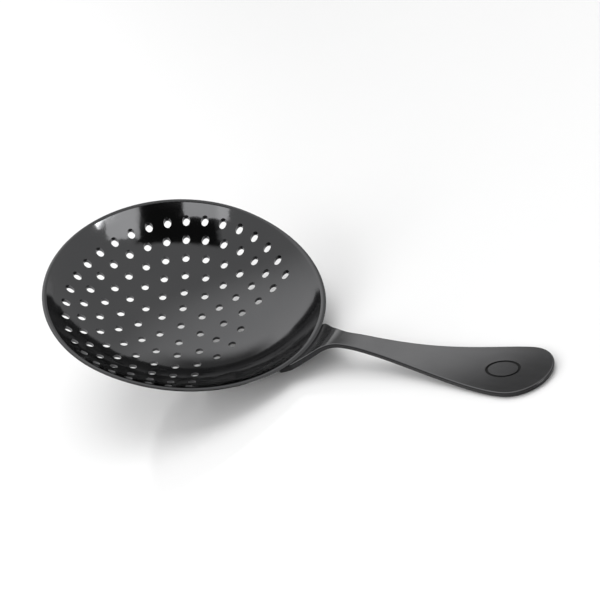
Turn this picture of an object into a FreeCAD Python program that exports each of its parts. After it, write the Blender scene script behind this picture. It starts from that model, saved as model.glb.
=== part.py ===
import FreeCAD, Part
import Sketcher
import math
import os

# Julep strainer for bar use: a perforated, egg-shaped pressed bowl and a stamped steel handle
# whose flared root hugs the outside of the bowl and is spot-welded there.
# Millimetres. The pieces are drawn in the bowl's frame: Z along the bowl's axis, Z = 0 on the
# rim, X towards the handle. They are then placed as the strainer lies on a counter, bowl up,
# resting on the heel of the root and the underside of the paddle, with the counter at Z = 0.

os.makedirs("parts", exist_ok=True)
doc = FreeCAD.newDocument("JulepStrainer")
Vector = FreeCAD.Vector
Z_AXIS = Vector(0, 0, 1)
ORIGIN = Vector(0, 0, 0)

# ---------------------------------------------------------------- driving dimensions
DIMENSIONS = (
    # bowl
    ("halfWidth", 37.2, "half the bowl's width over the rim"),
    ("frontReach", 45.5, "bowl axis to rim, towards the handle"),
    ("backReach", 39.7, "bowl axis to rim, away from the handle"),
    ("bowlDepth", 15.5, "rim to the inside of the bottom"),
    ("wallThickness", 1.0, "sheet of the bowl"),
    ("bellyShare", 0.53, "share of the depth that follows a parabola; the rest is fourth power"),
    ("lipCrown", 0.3, "rise of the rounded rim edge"),
    # holes
    ("holeDiameter", 2.3, "strainer hole"),
    ("firstRing", 6.9, "bowl axis to the first ring of holes"),
    ("ringPitch", 5.8, "ring to ring, along the wall"),
    ("ringCount", 6, "rings of holes"),
    ("holesPerRingStep", 6, "holes added from each ring to the next"),
    ("fullRings", 3, "inner rings that run all the way round"),
    ("gapHalfAngle", 45, "outer rings stop this far from the handle's line, degrees"),
    # handle, seen from the side
    ("handleThickness", 1.5, "strip of the handle"),
    ("weldGap", 0.05, "fit-up gap between root and bowl"),
    ("rootOverlap", 7.0, "how far the root reaches under the rim"),
    ("riseLength", 7.8, "straight rise from the rim to the shoulder"),
    ("shoulderRadius", 13.0, "bend at the shoulder"),
    ("blendRadius", 62.0, "easier bend that follows the shoulder"),
    ("blendAngle", 21.0, "slope where the two bends meet, degrees"),
    ("runAngle", 12.6, "slope of the straight run, degrees"),
    ("runLength", 12.0, "straight run"),
    ("sweepRadius", 180.0, "upward sweep of the paddle"),
    ("handleReach", 119.5, "bowl axis to the tip of the handle"),
    # handle, seen from above
    ("waistReach", 58.0, "bowl axis to the narrowest place"),
    ("waistWidth", 5.4, "narrowest width"),
    ("paddleWidth", 18.6, "widest width, at the round end"),
    ("rootWidth", 18.6, "width of the flared root"),
    ("flareReach", 48.5, "bowl axis to where the flare turns outwards"),
    ("flareWidth", 15.2, "width that steers the flare there"),
    ("flareEase", 6.0, "how softly the flare runs into the narrowest place"),
    ("bladeEase", 24.0, "how softly the blade leaves the narrowest place"),
    ("paddleEase", 10.0, "how softly the blade runs into the round end"),
    ("wingReach", 45.0, "bowl axis to the outer corner of the root's wing"),
    ("wingLength", 4.5, "straight side of the wing, along X"),
    ("wingTaper", 0.6, "narrowing of the wing along that side"),
    ("cornerRound", 1.7, "rounding of the wing's corners"),
    ("edgeRound", 0.35, "rounding of the handle's edges"),
    ("bandHalfAngle", 60.0, "half the turn of the band that the strip is cut from, degrees"),
    # spot welds
    ("weldCount", 3, "spot welds across the root"),
    ("weldDiameter", 3.2, "nugget"),
    ("weldSpacing", 5.6, "nugget to nugget, across the root"),
    ("weldDepth", 3.4, "rim to the nuggets, along X"),
    ("weldBite", 0.5, "nugget into each sheet"),
    # plain engraved oval near the tip
    ("ovalReach", 106.0, "bowl axis to the middle of the oval"),
    ("ovalLength", 9.0, "along the handle"),
    ("ovalWidth", 6.0, "across the handle"),
    ("lineWidth", 0.6, "engraved line"),
    ("engraveDepth", 0.15, "depth of the line"),
)

sheet = doc.addObject("Spreadsheet::Sheet", "Sizes")
for row, (alias, value, note) in enumerate(DIMENSIONS, start=1):
    sheet.set("A%d" % row, alias)
    sheet.set("B%d" % row, str(value))
    sheet.set("C%d" % row, note)
    sheet.setAlias("B%d" % row, alias)
doc.recompute()


def size(alias):
    return float(sheet.get(alias))


def bind(obj, prop, expression):
    obj.setExpression(prop, expression)


# ---------------------------------------------------------------- shape of the bowl's wall
# Depth below the rim at a share p of the reach: depth * (1 - b p^2 - (1 - b) p^4).
# A quartic like this is exactly a Bezier curve of five poles, evenly spaced in p.
def wallCurve(reach, depth):
    belly = size("bellyShare")
    drops = (1, 1, 1 - belly / 6, 1 - belly / 2, 0)
    curve = Part.BezierCurve()
    curve.setPoles([Vector(reach * i / 4, 0, -depth * drop) for i, drop in enumerate(drops)])
    return curve


def rimSlope(reach, depth):
    return depth * (4 - 2 * size("bellyShare")) / reach


def rimStep(thickness):
    """Horizontal width of a layer of this thickness at the rim, in the half-width section."""
    slope = rimSlope(size("halfWidth"), size("bowlDepth"))
    return thickness * math.sqrt(1 + slope * slope) / slope


def layerCurve(offset):
    """Wall curve that lies outside the bowl's outer face by offset, in the half-width section."""
    return wallCurve(
        size("halfWidth") + rimStep(offset),
        size("bowlDepth") + size("wallThickness") + offset,
    )


def innerCurve():
    return wallCurve(size("halfWidth") - rimStep(size("wallThickness")), size("bowlDepth"))


def revolveStretched(face, reach, startAngle, sweepAngle):
    """Turns a half-width section about Z and stretches it along X to the given reach."""
    turned = face.copy()
    turned.rotate(ORIGIN, Z_AXIS, startAngle)
    solid = turned.revolve(ORIGIN, Z_AXIS, sweepAngle)
    matrix = FreeCAD.Matrix()
    matrix.scale(reach / size("halfWidth"), 1, 1)
    return solid.transformGeometry(matrix)


# ---------------------------------------------------------------- bowl
def bowlSection():
    inner = innerCurve()
    outer = layerCurve(0)
    innerRim = inner.value(1)
    outerRim = outer.value(1)
    crown = Vector((innerRim.x + outerRim.x) / 2, 0, size("lipCrown"))
    edges = [
        inner.toShape(),
        Part.Arc(innerRim, crown, outerRim).toShape(),
        outer.toShape(),
        Part.makeLine(outer.value(0), inner.value(0)),
    ]
    return Part.Face(Part.Wire(Part.sortEdges(edges)[0]))


def bowlHalf(name, reachAlias, startAngle):
    half = doc.addObject("Part::Feature", name)
    half.Shape = revolveStretched(bowlSection(), size(reachAlias), startAngle, 180)
    return half


frontHalf = bowlHalf("FrontHalf", "frontReach", -90)
backHalf = bowlHalf("BackHalf", "backReach", 90)
shell = doc.addObject("Part::MultiFuse", "BowlShell")
shell.Shapes = [frontHalf, backHalf]


# ---------------------------------------------------------------- handle, seen from the side
def stretch():
    return size("frontReach") / size("halfWidth")


def forward(angle):
    """Unit vector along the strip where it slopes by this angle."""
    return Vector(math.cos(angle), 0, math.sin(angle))


def downward(angle):
    """Unit vector from the strip's top face towards its underside."""
    return Vector(math.sin(angle), 0, -math.cos(angle))


def handleLine(depth):
    """Edges of the strip's side view at a depth below its top face, from root to past the tip."""
    margin = 2 * size("handleThickness")
    wall = layerCurve(size("weldGap") + depth)
    wall.setPoles([Vector(pole.x * stretch(), 0, pole.z) for pole in wall.getPoles()])
    wall.segment(1 - (size("rootOverlap") + margin) / size("frontReach"), 1)
    edges = [wall.toShape()]

    def straight(start, length, angle):
        end = start + forward(angle) * length
        line = Part.makeLine(edges[-1].Vertexes[-1].Point, end + downward(angle) * depth)
        edges.append(line)
        return end

    def bend(start, radius, startAngle, endAngle):
        turn = radius if endAngle > startAngle else -radius

        def onBend(angle):
            return start + (downward(angle) - downward(startAngle)) * turn

        middle = (startAngle + endAngle) / 2
        through = onBend(middle) + downward(middle) * depth
        stop = onBend(endAngle) + downward(endAngle) * depth
        edges.append(Part.Arc(edges[-1].Vertexes[-1].Point, through, stop).toShape())
        return onBend(endAngle)

    top = layerCurve(size("weldGap"))
    rim = Vector(top.value(1).x * stretch(), 0, 0)
    rimAngle = math.atan(rimSlope(rim.x, -top.value(0).z))
    blendSlope = math.radians(size("blendAngle"))
    runSlope = math.radians(size("runAngle"))
    shoulder = straight(rim, size("riseLength"), rimAngle)
    blend = bend(shoulder, size("shoulderRadius"), rimAngle, blendSlope)
    run = bend(blend, size("blendRadius"), blendSlope, runSlope)
    sweep = straight(run, size("runLength"), runSlope)
    rest = size("handleReach") + margin - sweep.x
    tipSlope = math.asin(math.sin(runSlope) + rest / size("sweepRadius"))
    bend(sweep, size("sweepRadius"), runSlope, tipSlope)
    return edges


def handleBand(topDepth, bottomDepth):
    """The strip between two depths, turned about the bowl's axis so that its root hugs the wall."""
    upper = handleLine(topDepth)
    lower = handleLine(bottomDepth)
    upperEnds = (upper[0].valueAt(upper[0].FirstParameter), upper[-1].Vertexes[-1].Point)
    lowerEnds = (lower[0].valueAt(lower[0].FirstParameter), lower[-1].Vertexes[-1].Point)
    ends = [Part.makeLine(a, b) for a, b in zip(upperEnds, lowerEnds)]
    section = Part.Face(Part.Wire(Part.sortEdges(upper + lower + ends)[0]))
    squeeze = FreeCAD.Matrix()
    squeeze.scale(1 / stretch(), 1, 1)
    section = section.transformGeometry(squeeze)
    turn = size("bandHalfAngle")
    return revolveStretched(section, size("frontReach"), -turn, 2 * turn)


# ---------------------------------------------------------------- handle, seen from above
def bezier(*points):
    curve = Part.BezierCurve()
    curve.setPoles([Vector(x, y, 0) for x, y in points])
    return curve.toShape()


def handlePlan():
    waist = size("waistWidth") / 2
    paddle = size("paddleWidth") / 2
    root = size("rootWidth") / 2
    wing = size("wingReach")
    narrow = size("waistReach")
    roundCentre = size("handleReach") - paddle
    flare = bezier(
        (wing, root),
        (size("flareReach"), size("flareWidth") / 2),
        (narrow - size("flareEase"), waist),
        (narrow, waist),
    )
    blade = bezier(
        (narrow, waist),
        (narrow + size("bladeEase"), waist),
        (roundCentre - size("paddleEase"), paddle),
        (roundCentre, paddle),
    )
    corner = Vector(wing, root, 0)
    inner = Vector(wing - size("wingLength"), root - size("wingTaper"), 0)
    side = [Part.makeLine(inner, corner), flare, blade]
    mirrored = [edge.mirror(ORIGIN, Vector(0, 1, 0)) for edge in side]
    upperEnd = Vector(roundCentre, paddle, 0)
    lowerEnd = Vector(roundCentre, -paddle, 0)
    tip = Part.Arc(upperEnd, Vector(size("handleReach"), 0, 0), lowerEnd)
    heelMiddle = Vector(size("frontReach") - size("rootOverlap"), 0, 0)
    heel = Part.Arc(inner, heelMiddle, Vector(inner.x, -inner.y, 0))
    edges = side + mirrored + [tip.toShape(), heel.toShape()]
    return Part.Face(Part.Wire(Part.sortEdges(edges)[0]))


def upright(name, face):
    """A plan view raised through the whole height of the strainer."""
    plan = doc.addObject("Part::Feature", name + "Plan")
    plan.Shape = face
    prism = doc.addObject("Part::Extrusion", name + "Prism")
    prism.Base = plan
    prism.DirMode = "Custom"
    prism.Dir = Z_AXIS
    prism.Solid = True
    bind(prism, "LengthFwd", "Sizes.handleReach")
    bind(prism, "LengthRev", "Sizes.bowlDepth * 2")
    return prism


def wingCorners(shape):
    """Upright edges at the corners of the root's wings."""
    found = []
    for number, edge in enumerate(shape.Edges, start=1):
        atRoot = edge.BoundBox.XMax < size("wingReach") + size("cornerRound")
        if atRoot and edge.BoundBox.XLength + edge.BoundBox.YLength < size("cornerRound"):
            found.append(number)
    return found


def rounding(name, base, edgeNumbers, radius):
    fillet = doc.addObject("Part::Fillet", name)
    fillet.Base = base
    fillet.Edges = [(number, radius, radius) for number in edgeNumbers]
    doc.recompute()
    return fillet


band = doc.addObject("Part::Feature", "HandleBand")
band.Shape = handleBand(0, size("handleThickness"))
prism = upright("Handle", handlePlan())
doc.recompute()
outline = rounding("HandleOutline", prism, wingCorners(prism.Shape), size("cornerRound"))
strip = doc.addObject("Part::Common", "HandleStrip")
strip.Base = band
strip.Tool = outline
doc.recompute()


def isUpright(face):
    low, high, left, right = face.ParameterRange
    return abs(face.normalAt((low + high) / 2, (left + right) / 2).z) < 0.001


def outlineEdges(shape):
    """Edges between the stamped outline and the strip's top and bottom faces."""
    found = []
    for number, edge in enumerate(shape.Edges, start=1):
        faces = shape.ancestorsOfType(edge, Part.Face)
        if [isUpright(face) for face in faces].count(True) == 1:
            found.append(number)
    return found


rounded = rounding("HandleRounded", strip, outlineEdges(strip.Shape), size("edgeRound"))


# ---------------------------------------------------------------- plain engraved oval
def ovalPlan():
    middle = Vector(size("ovalReach"), 0, 0)

    def oval(margin):
        longHalf = size("ovalLength") / 2 + margin
        shortHalf = size("ovalWidth") / 2 + margin
        return Part.Face(Part.Wire(Part.Ellipse(middle, longHalf, shortHalf).toShape()))

    return oval(size("lineWidth") / 2).cut(oval(-size("lineWidth") / 2))


skin = doc.addObject("Part::Feature", "EngravedSkin")
skin.Shape = handleBand(-size("engraveDepth"), size("engraveDepth"))
engraving = doc.addObject("Part::Common", "Engraving")
engraving.Base = skin
engraving.Tool = upright("Oval", ovalPlan())


# ---------------------------------------------------------------- spot welds
def weldSeat(across):
    """Placement of a nugget that starts inside the bowl's wall and points out through the root."""
    seam = layerCurve(size("weldGap") / 2)
    radius = (size("frontReach") - size("weldDepth")) / stretch()
    share = radius / seam.value(1).x
    slope = seam.tangent(share)[0]
    steepness = slope.z / slope.x
    along = math.sqrt(radius**2 - across**2)
    point = Vector(along * stretch(), across, seam.value(share).z)
    outward = Vector(steepness * along / (stretch() * radius), steepness * across / radius, -1)
    outward.normalize()
    start = point - outward * (size("weldBite") + size("weldGap") / 2)
    return FreeCAD.Placement(start, FreeCAD.Rotation(Z_AXIS, outward))


def nugget(name, number):
    weld = doc.addObject("Part::Cylinder", "%s_%d" % (name, number))
    bind(weld, "Radius", "Sizes.weldDiameter / 2")
    bind(weld, "Height", "2 * Sizes.weldBite + Sizes.weldGap")
    weld.Placement = weldSeat(size("weldSpacing") * (number - (size("weldCount") + 1) / 2))
    return weld


weldNumbers = range(1, int(size("weldCount")) + 1)
weldSeats = [nugget("seat", number) for number in weldNumbers]
welds = [nugget("weld", number) for number in weldNumbers]


def seatsCut(name, base, tools):
    """Base with room for the tools, which fill it exactly."""
    joined = doc.addObject("Part::MultiFuse", name + "Tools")
    joined.Shapes = tools
    cut = doc.addObject("Part::Cut", name)
    cut.Base = base
    cut.Tool = joined
    return cut


seated = seatsCut("BowlSeated", shell, weldSeats)
handle = seatsCut("Handle", rounded, weldSeats + [engraving])
handle.Label = "handle"
doc.recompute()


# ---------------------------------------------------------------- holes
# The holes were punched straight down, on rings that lie a constant pitch apart along the wall.
ringNumbers = range(1, int(size("ringCount")) + 1)
innerWall = innerCurve().toShape()
for ring in ringNumbers:
    alongWall = size("firstRing") + size("ringPitch") * (ring - 1)
    radius = innerWall.valueAt(innerWall.getParameterByLength(alongWall)).x
    sheet.set("D%d" % ring, str(round(radius, 3)))
    sheet.setAlias("D%d" % ring, "ringRadius%d" % ring)
doc.recompute()


def originPart(body, role):
    return [item for item in body.Origin.OriginFeatures if item.Role == role][0]


def punch(body, name, ring, angle):
    """One hole through the wall, on a ring of that number, at an angle in degrees."""
    radius = "Sizes.ringRadius%d" % ring if ring else "0"
    places = (
        ("DistanceX", "%s * cos(%.4f deg)" % (radius, angle)),
        ("DistanceY", "%s * sin(%.4f deg)" % (radius, angle)),
    )
    reach = size("ringRadius%d" % ring) if ring else 0
    centre = forward(math.radians(angle)) * reach
    centre = Vector(centre.x, centre.z, 0)
    sketch = body.newObject("Sketcher::SketchObject", name + "Sketch")
    sketch.AttachmentSupport = (originPart(body, "XY_Plane"), [""])
    sketch.MapMode = "FlatFace"
    circle = sketch.addGeometry(Part.Circle(centre, Z_AXIS, size("holeDiameter") / 2), False)
    diameter = sketch.addConstraint(Sketcher.Constraint("Diameter", circle, size("holeDiameter")))
    bind(sketch, "Constraints[%d]" % diameter, "Sizes.holeDiameter")
    for (kind, expression), value in zip(places, (centre.x, centre.y)):
        place = sketch.addConstraint(Sketcher.Constraint(kind, -1, 1, circle, 3, value))
        if ring:
            bind(sketch, "Constraints[%d]" % place, expression)
    pocket = body.newObject("PartDesign::Pocket", name)
    pocket.Profile = sketch
    pocket.Type = "ThroughAll"
    pocket.Midplane = True
    return pocket


def punchRing(body, ring):
    """A whole ring of holes, or one that leaves a gap on the handle's side."""
    count = ring * int(size("holesPerRingStep"))
    step = 360.0 / count
    full = ring <= size("fullRings")
    first = 0 if full else math.ceil(size("gapHalfAngle") / step)
    kept = count if full else count - 2 * first + 1
    pocket = punch(body, "RingPunch%d" % ring, ring, first * step)
    doc.recompute()
    pattern = body.newObject("PartDesign::PolarPattern", "Ring%d" % ring)
    pattern.Originals = [pocket]
    pattern.Axis = (originPart(body, "Z_Axis"), [""])
    pattern.Angle = 360 if full else step * (kept - 1)
    pattern.Occurrences = kept
    body.Tip = pattern
    doc.recompute()


bowl = doc.addObject("PartDesign::Body", "Bowl")
bowl.Label = "bowl"
bowl.BaseFeature = seated
doc.recompute()
punch(bowl, "CentrePunch", 0, 0)
doc.recompute()
for ring in ringNumbers:
    punchRing(bowl, ring)


# ---------------------------------------------------------------- how it lies on a counter
def restTilt():
    """Slope of the line that touches the underside of the paddle and of the root or the belly."""
    heel = size("frontReach") - size("rootOverlap")
    belly = layerCurve(0)
    lows = [Vector(point.x * stretch(), 0, point.z) for point in belly.toShape().discretize(100)]
    underside = handleLine(size("handleThickness"))
    lows += [point for point in underside[0].discretize(100) if point.x > heel]
    tips = [point for point in underside[-1].discretize(200) if point.x < size("handleReach")]
    return math.atan(min(max((tip.z - low.z) / (tip.x - low.x) for low in lows) for tip in tips))


def boxOf(shapes, placement):
    placed = [shape.copy() for shape in shapes]
    for shape in placed:
        shape.Placement = placement.multiply(shape.Placement)
    return Part.makeCompound(placed).optimalBoundingBox(False)


lean = FreeCAD.Placement(ORIGIN, FreeCAD.Rotation(Vector(0, 1, 0), math.degrees(restTilt())))
box = boxOf([bowl.Shape, handle.Shape], lean)
resting = FreeCAD.Placement(Vector(-box.Center.x, -box.Center.y, -box.ZMin), lean.Rotation)
subParts = [bowl, handle] + welds
for item in subParts:
    item.Placement = resting.multiply(item.Placement)
doc.recompute()

# ---------------------------------------------------------------- checks and files
for item in doc.Objects:
    if "Invalid" in item.State or "Error" in item.State:
        raise RuntimeError(item.Name + " did not build: " + ", ".join(item.State))
for item in subParts:
    if item.Shape.isNull() or not item.Shape.isValid() or len(item.Shape.Solids) != 1:
        raise RuntimeError(item.Label + " is not one valid solid")
for item in subParts:
    item.Shape.exportStep("parts/%s.step" % item.Label)
    print(item.Label, round(item.Shape.Volume, 1), "mm3")
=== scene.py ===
import bpy
import math
from mathutils import Matrix, Vector


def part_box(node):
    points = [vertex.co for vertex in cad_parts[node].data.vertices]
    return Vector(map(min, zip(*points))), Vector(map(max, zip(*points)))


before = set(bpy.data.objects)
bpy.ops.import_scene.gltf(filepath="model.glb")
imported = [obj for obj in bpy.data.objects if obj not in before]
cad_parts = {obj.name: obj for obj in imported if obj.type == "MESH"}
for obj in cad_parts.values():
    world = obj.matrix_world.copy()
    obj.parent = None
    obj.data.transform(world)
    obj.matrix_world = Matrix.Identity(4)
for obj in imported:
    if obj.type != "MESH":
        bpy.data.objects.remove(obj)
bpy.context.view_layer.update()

handleLow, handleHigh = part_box("handle")
print("frame loaded:", sorted(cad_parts))


# a socket that takes part in ordinary sums; each operator adds one Math node
class Field:
    def __init__(self, tree, socket):
        self.tree = tree
        self.socket = socket

    def math(self, operation, *others, clamp=False):
        settings = {"operation": operation, "use_clamp": clamp}
        inputs = {0: self, **{i + 1: other for i, other in enumerate(others)}}
        return self.tree.node("ShaderNodeMath", settings, inputs)[0]

    def __add__(self, other):
        return self.math("ADD", other)

    def __sub__(self, other):
        return self.math("SUBTRACT", other)

    def __mul__(self, other):
        return self.math("MULTIPLY", other)

    def __radd__(self, other):
        return self.math("ADD", other)

    def __rmul__(self, other):
        return self.math("MULTIPLY", other)

    def __rsub__(self, other):
        return (self * -1).math("ADD", other)

    def power(self, exponent):
        return self.math("POWER", exponent)

    def clamped(self):
        return self.math("ADD", 0.0, clamp=True)


# the outputs of a node, by place or by name
class Outputs:
    def __init__(self, tree, node):
        self.tree = tree
        self.node = node

    def __getitem__(self, key):
        return Field(self.tree, self.node.outputs[key])


# one node tree that is being built
class Tree:
    def __init__(self, nodeTree):
        self.nodes = nodeTree.nodes
        self.links = nodeTree.links
        self.nodes.clear()

    def node(self, kind, settings=None, inputs=None):
        made = self.nodes.new(kind)
        for name, value in (settings or {}).items():
            setattr(made, name, value)
        for key, value in (inputs or {}).items():
            if isinstance(value, Field):
                self.links.new(value.socket, made.inputs[key])
            else:
                made.inputs[key].default_value = value
        return Outputs(self, made)

    def mixColour(self, factor, first, second):
        settings = {"data_type": "RGBA"}
        return self.node("ShaderNodeMix", settings, {0: factor, 6: first, 7: second})[2]

    def between(self, value, low, high):
        return self.node("ShaderNodeMapRange", {"interpolation_type": "SMOOTHSTEP"},
                         {0: value, 1: low, 2: high})[0]


def objectPlace(tree, stretch=(1, 1, 1), turn=(0, 0, 0)):
    place = tree.node("ShaderNodeTexCoord")["Object"]
    angles = [math.radians(angle) for angle in turn]
    inputs = {"Vector": place, "Scale": stretch, "Rotation": angles}
    return tree.node("ShaderNodeMapping", {}, inputs)[0]


def noise(tree, place, scale, detail=3.0):
    inputs = {"Vector": place, "Scale": scale, "Detail": detail, "Roughness": 0.55}
    return tree.node("ShaderNodeTexNoise", {}, inputs)[0]


# 1 on the oval line, 0 elsewhere
def ringLine(tree, ring):
    place = tree.node("ShaderNodeTexCoord")["Object"]
    parts = tree.node("ShaderNodeSeparateXYZ", {}, {0: place})
    along = (parts[0] - ring["middle"][0]) * (1 / ring["half"][0])
    across = (parts[1] - ring["middle"][1]) * (1 / ring["half"][1])
    reach = (along * along + across * across).power(0.5)
    off = (reach - 1).math("ABSOLUTE")
    return 1 - tree.between(off, ring["lineInner"], ring["lineOuter"])


# polished dark steel: the finish wanders a little, with faint polishing lines and hairline marks
def polishedSteel(name, look):
    material = bpy.data.materials.new(name)
    material.use_nodes = True
    tree = Tree(material.node_tree)
    cloudPlace = objectPlace(tree)
    grainPlace = objectPlace(tree, look["grainStretch"], look["grainTurn"])
    cloud = noise(tree, cloudPlace, look["cloudScale"])
    smears = noise(tree, cloudPlace, look["smudgeScale"], look["smudgeDetail"])
    smudge = tree.between(smears, look["smudgeFrom"], look["smudgeTo"])
    grain = noise(tree, grainPlace, look["grainScale"], look["grainDetail"])
    hairPlace = objectPlace(tree, look["hairStretch"], look["hairTurn"])
    lines = noise(tree, hairPlace, look["hairScale"], look["hairDetail"])
    hair = tree.between(lines, look["hairFrom"], look["hairTo"])
    wander = (cloud - 0.5) * look["roughnessWander"]
    roughness = (wander + look["roughness"] + smudge * look["smudge"]
                 + (grain - 0.5) * look["grainRoughness"] + hair * look["hairRoughness"])
    colour = tree.mixColour(cloud, (*look["colourDeep"], 1.0), (*look["colourLight"], 1.0))
    if "shearedColour" in look:  # the strip's cut sides are rougher than its faces, and are painted darker as painted shade
        normal = tree.node("ShaderNodeNewGeometry")["True Normal"]
        upright = tree.node("ShaderNodeSeparateXYZ", {}, {0: normal})[2].math("ABSOLUTE")
        sheared = 1 - tree.between(upright, look["shearedFrom"], look["shearedTo"])
        # painted shade: the upright cut sides take a darker colour
        colour = tree.mixColour(sheared, colour, (*look["shearedColour"], 1.0))
        roughness = roughness + sheared * look["shearedRoughness"]
    if "ring" in look:  # a dark oval line marks the paddle
        inRing = ringLine(tree, look["ring"])
        colour = tree.mixColour(inRing, colour, (*look["ringColour"], 1.0))
        roughness = roughness + inRing * look["ringRoughness"]
    bump = tree.node("ShaderNodeBump", {}, {
        "Strength": look["bumpStrength"], "Distance": look["bumpDistance"],
        "Height": grain - hair * look["hairDepth"]})[0]
    shader = tree.node("ShaderNodeBsdfPrincipled", {}, {
        "Base Color": colour, "Metallic": 1.0, "Roughness": roughness.clamped(), "Normal": bump})
    tree.node("ShaderNodeOutputMaterial", {}, {0: shader[0]})
    return material


bowlLook = {
    "colourDeep": (0.093, 0.094, 0.097),
    "colourLight": (0.116, 0.116, 0.118),
    "roughness": 0.085,
    "roughnessWander": 0.03,
    "cloudScale": 45.0,
    "smudgeScale": 70.0,
    "smudgeDetail": 4.0,
    "smudgeFrom": 0.52,
    "smudgeTo": 0.70,
    "smudge": 0.05,
    "grainScale": 900.0,
    "grainDetail": 2.0,
    "grainStretch": (1.0, 1.0, 1.0),
    "grainTurn": (0, 0, 0),
    "grainRoughness": 0.03,
    "hairScale": 130.0,
    "hairDetail": 1.0,
    "hairFrom": 0.70,
    "hairTo": 0.74,
    "hairStretch": (0.4, 9.0, 1.0),
    "hairTurn": (0, 0, 35),
    "hairRoughness": 0.03,
    "hairDepth": 0.4,
    "bumpStrength": 0.05,
    "bumpDistance": 0.00002,
}
ringFromTip = 0.0147
handleLook = dict(
    bowlLook,
    colourDeep=(0.120, 0.120, 0.123),
    colourLight=(0.142, 0.142, 0.144),
    roughness=0.16,
    grainStretch=(0.12, 1.0, 1.0),
    grainRoughness=0.06,
    hairStretch=(9.0, 0.5, 1.0),
    hairTurn=(0, 0, 12),
    # painted shade on the strip's cut sides
    shearedColour=(0.035, 0.035, 0.036),
    shearedFrom=0.55,
    shearedTo=0.93,
    shearedRoughness=0.16,
    ring={
        "middle": (handleHigh.x - ringFromTip, (handleLow.y + handleHigh.y) / 2),
        "half": (0.00489, 0.0030),
        "lineInner": 0.07,
        "lineOuter": 0.11,
    },
    ringColour=(0.022, 0.022, 0.022),
    ringRoughness=0.25,
)
weldLook = dict(
    bowlLook,
    colourDeep=(0.42, 0.42, 0.42),
    colourLight=(0.55, 0.55, 0.54),
    roughness=0.38,
    bumpStrength=0.3,
    bumpDistance=0.00005,
)


def dress(nodeName, material):
    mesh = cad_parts[nodeName].data
    if not mesh.materials:
        mesh.materials.append(material)
    for index in range(len(mesh.materials)):
        mesh.materials[index] = material


dress("bowl", polishedSteel("bowlGunmetal", bowlLook))
dress("handle", polishedSteel("handleGunmetal", handleLook))
weldSteel = polishedSteel("weldSteel", weldLook)
for nodeName in sorted(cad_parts):
    if nodeName.startswith("weld"):
        dress(nodeName, weldSteel)
print("finishes on")


# white studio table
table = {
    "halfSize": 6.0,
    "shade": 0.93,
    "speckleScale": 40.0,
    "speckleDepth": 0.01,
    "roughness": 0.1,
    "gloss": 0.9,
}


def makeTable():
    half = table["halfSize"]
    mesh = bpy.data.meshes.new("studioTable")
    corners = [(-half, -half, 0), (half, -half, 0), (half, half, 0), (-half, half, 0)]
    mesh.from_pydata(corners, [], [(0, 1, 2, 3)])
    made = bpy.data.objects.new("studioTable", mesh)
    bpy.context.scene.collection.objects.link(made)
    material = bpy.data.materials.new("tableWhite")
    material.use_nodes = True
    tree = Tree(material.node_tree)
    speckle = noise(tree, objectPlace(tree), table["speckleScale"])
    light = table["shade"]
    dark = light - table["speckleDepth"]
    colour = tree.mixColour(speckle, (dark, dark, dark, 1.0), (light, light, light, 1.0))
    shader = tree.node("ShaderNodeBsdfPrincipled", {}, {
        "Base Color": colour, "Roughness": table["roughness"],
        "Specular IOR Level": table["gloss"]})
    tree.node("ShaderNodeOutputMaterial", {}, {0: shader[0]})
    mesh.materials.append(material)


makeTable()
print("table laid")


# camera: angles round the strainer, in degrees, and distances in metres
view = {
    "azimuth": 49.36,
    "elevation": 29.41,
    "roll": -26.85,
    "distance": 0.52,
    "aim": (0.0222, -0.0153, 0.0348),
    "lens": 120.0,
    "sensor": 36.0,
}


def towards(azimuth, elevation):
    a, e = math.radians(azimuth), math.radians(elevation)
    return Vector((math.sin(a) * math.cos(e), -math.cos(a) * math.cos(e), math.sin(e)))


def turnOf(angles):
    back = towards(angles["azimuth"], angles["elevation"])
    level = (-back).to_track_quat("-Z", "Y").to_matrix()
    return level @ Matrix.Rotation(math.radians(angles["roll"]), 3, "Z")


def makeCamera():
    data = bpy.data.cameras.new("studioCamera")
    data.lens = view["lens"]
    data.sensor_width = view["sensor"]
    data.clip_start, data.clip_end = 0.01, 50.0
    made = bpy.data.objects.new("studioCamera", data)
    bpy.context.scene.collection.objects.link(made)
    place = Vector(view["aim"]) + towards(view["azimuth"], view["elevation"]) * view["distance"]
    made.matrix_world = Matrix.Translation(place) @ turnOf(view).to_4x4()
    bpy.context.scene.camera = made


makeCamera()
print("camera placed")


# soft studio light. The dark cloth behind the camera and the soft boxes hang from one rig,
# and their angles are counted across and up from the rig's middle
rig = {"azimuth": 49.36, "elevation": 29.41, "roll": -26.85}
surround = {
    "pale": 0.62,
    "bright": 1.25,
    "brightAzimuth": -118.0,
    "brightElevation": 42.0,
    "brightInner": 12.0,
    "brightOuter": 50.0,
    "clothFront": 0.2,
}
clothBehindCamera = {
    "turn": rig,
    "middle": (-9.0, 5.0),
    "half": (29.0, 18.0),
    "edge": 3.0,
    "level": 0.03,
}
screenOpposite = {
    "turn": {"azimuth": -143.0, "elevation": 24.0, "roll": 0.0},
    "middle": (0.0, 0.0),
    "half": (20.0, 22.0),
    "edge": 13.0,
    "level": 0.22,
}
softBoxes = (
    {"name": "leftBox", "across": -31.0, "up": -7.0, "distance": 1.5, "size": (0.84, 0.36), "power": 2.1},
    {"name": "rightBox", "across": 27.5, "up": 5.0, "distance": 1.5, "size": (0.66, 0.72), "power": 2.9},
)
lowStrip = {
    "name": "lowStrip",
    "azimuth": 86.0,
    "elevation": 6.5,
    "distance": 1.5,
    "size": (0.55, 0.26),
    "power": 8.0,
}
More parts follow.
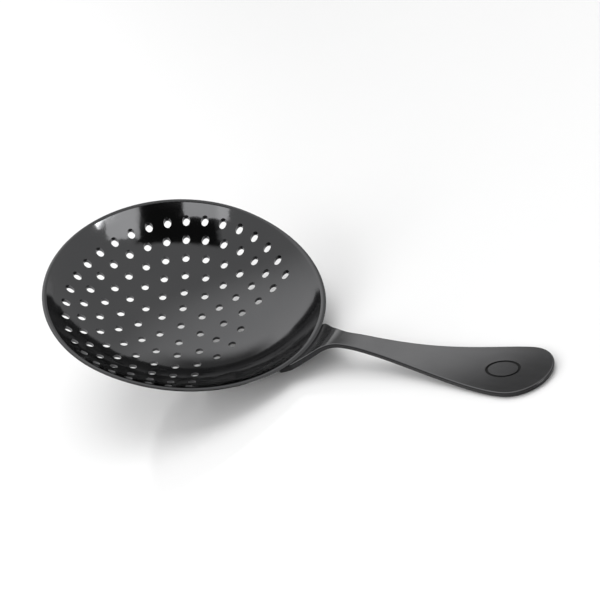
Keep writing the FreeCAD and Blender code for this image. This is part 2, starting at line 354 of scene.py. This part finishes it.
# the fills light the table and don't show in the steel
fills = (
    {
        "name": "topFill",
        "azimuth": 200.0,
        "elevation": 74.0,
        "distance": 2.2,
        "size": (1.8, 1.8),
        "power": 18.0,
    },
    {
        "name": "frontFill",
        "azimuth": -35.0,
        "elevation": 30.0,
        "distance": 2.0,
        "size": (1.2, 1.2),
        "power": 10.0,
    },
)


def fromRig(across, up):
    a, e = math.radians(across), math.radians(up)
    return turnOf(rig) @ Vector((math.sin(a) * math.cos(e), math.sin(e), math.cos(a) * math.cos(e)))


def makeSurround():
    world = bpy.data.worlds.new("paleStudio")
    world.use_nodes = True
    tree = Tree(world.node_tree)
    direction = tree.node("ShaderNodeTexCoord")["Generated"]

    def along(axis):
        inputs = {0: direction, 1: axis}
        return tree.node("ShaderNodeVectorMath", {"operation": "DOT_PRODUCT"}, inputs)["Value"]

    brightAxis = towards(surround["brightAzimuth"], surround["brightElevation"])
    brightOuter = math.cos(math.radians(surround["brightOuter"]))
    brightInner = math.cos(math.radians(surround["brightInner"]))
    glow = tree.between(along(brightAxis), brightOuter, brightInner)

    def covered(cloth):
        turn = turnOf(cloth["turn"])
        cover = tree.between(along(turn.col[2]), 0.0, surround["clothFront"])
        edge = math.sin(math.radians(cloth["edge"]))
        for axis, middle, half in zip(turn.col[:2], cloth["middle"], cloth["half"]):
            low = math.sin(math.radians(middle - half))
            high = math.sin(math.radians(middle + half))
            place = along(axis)
            pastLow = tree.between(place, low, low + edge)
            pastHigh = tree.between(place, high - edge, high)
            cover = cover * pastLow * (1 - pastHigh)
        return cover

    level = glow * (surround["bright"] - surround["pale"]) + surround["pale"]
    for cloth in (clothBehindCamera, screenOpposite):
        cover = covered(cloth)
        level = level * (1 - cover) + cover * cloth["level"]
    lit = tree.node("ShaderNodeBackground", {}, {"Color": (1.0, 1.0, 1.0, 1.0), "Strength": level})
    tree.node("ShaderNodeOutputWorld", {}, {0: lit[0]})
    bpy.context.scene.world = world


def makeLamp(lamp, back, turn):
    data = bpy.data.lights.new(lamp["name"], "AREA")
    data.shape = "RECTANGLE"
    data.size, data.size_y = lamp["size"]
    data.energy = lamp["power"]
    made = bpy.data.objects.new(lamp["name"], data)
    bpy.context.scene.collection.objects.link(made)
    made.matrix_world = Matrix.Translation(back * lamp["distance"]) @ turn.to_4x4()
    return made


# a soft box stands square to the rig
def makeSoftBox(box):
    back = fromRig(box["across"], box["up"])
    upward = back.cross(turnOf(rig).col[0]).normalized()
    across = upward.cross(back).normalized()
    makeLamp(box, back, Matrix((across, upward, back)).transposed())


def makeLevelLamp(lamp):
    back = towards(lamp["azimuth"], lamp["elevation"])
    return makeLamp(lamp, back, turnOf({**lamp, "roll": 0.0}))


makeSurround()
for box in softBoxes:
    makeSoftBox(box)
makeLevelLamp(lowStrip)
for fill in fills:
    makeLevelLamp(fill).visible_glossy = False
bpy.context.scene.view_settings.view_transform = "Standard"
print("lights up")
